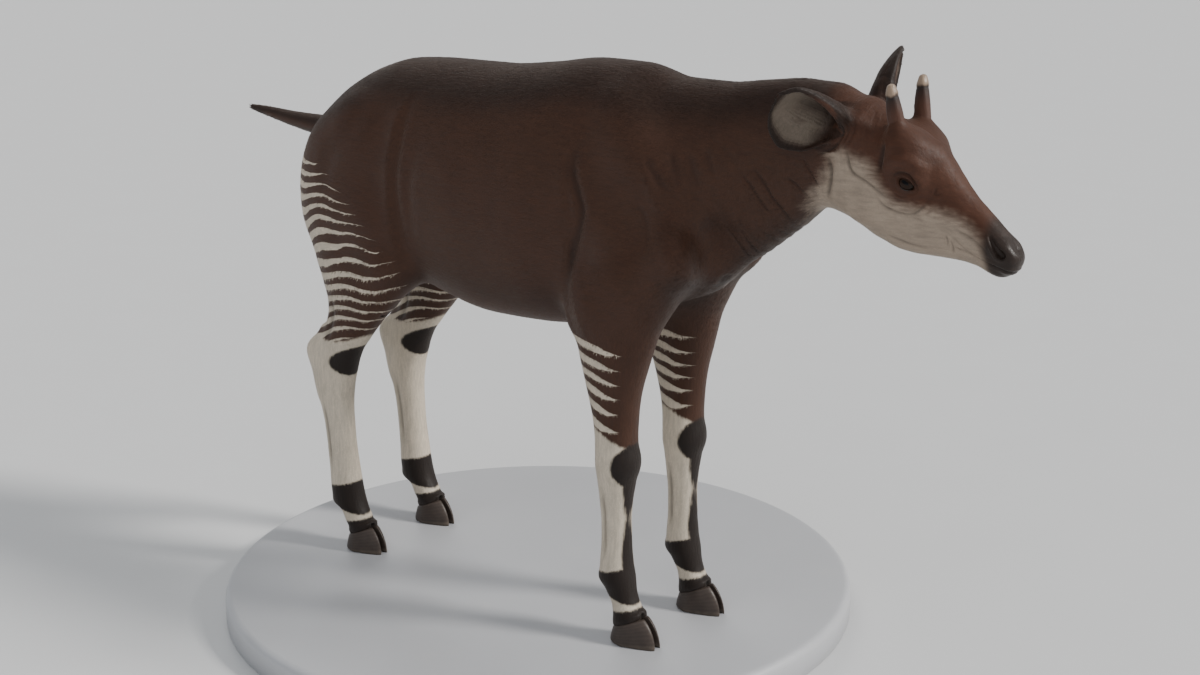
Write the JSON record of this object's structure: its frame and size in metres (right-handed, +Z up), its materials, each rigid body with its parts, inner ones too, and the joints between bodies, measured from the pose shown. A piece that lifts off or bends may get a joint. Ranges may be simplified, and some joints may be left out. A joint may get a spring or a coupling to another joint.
{
  "type": "life-size okapi display model",
  "caption": "Life-size standing okapi with striped haunches, held-out tail and low head, on a round flat display base.",
  "frame": {"origin": "middle of the underside of the round base", "axes": "+X forward from tail to nose, +Y to the animal's left, +Z up"},
  "size_m": [2.6069, 1.8, 1.6382],
  "materials": {
    "coat": "short velvety fur",
    "face_coat": "short fur, pale grey on the cheeks and dark on the forehead and muzzle",
    "leg_coat": "short fur, pale with dark bands",
    "ear_coat": "short fur with a dark rim and a pale, finely haired inside",
    "ossicone_skin": "short fur over bone, bare and worn at the tip",
    "hoof_horn": "dark keratin with fine growth rings",
    "eye": "dark wet cornea",
    "base_paint": "plain pale satin paint"
  },
  "bodies": {
    "root": {"stand_base": "base_paint", "torso": "coat", "neck": "coat", "head": "face_coat", "tail": "coat", "eye_left": "eye", "ear_left": "ear_coat", "ossicone_left": "ossicone_skin", "eye_right": "eye", "ear_right": "ear_coat", "ossicone_right": "ossicone_skin", "foreleg_left": "leg_coat", "claw_foreleg_left_inner": "hoof_horn", "claw_foreleg_left_outer": "hoof_horn", "foreleg_right": "leg_coat", "claw_foreleg_right_inner": "hoof_horn", "claw_foreleg_right_outer": "hoof_horn", "hindleg_left": "leg_coat", "claw_hindleg_left_inner": "hoof_horn", "claw_hindleg_left_outer": "hoof_horn", "hindleg_right": "leg_coat", "claw_hindleg_right_inner": "hoof_horn", "claw_hindleg_right_outer": "hoof_horn"}
  },
  "joints": []
}
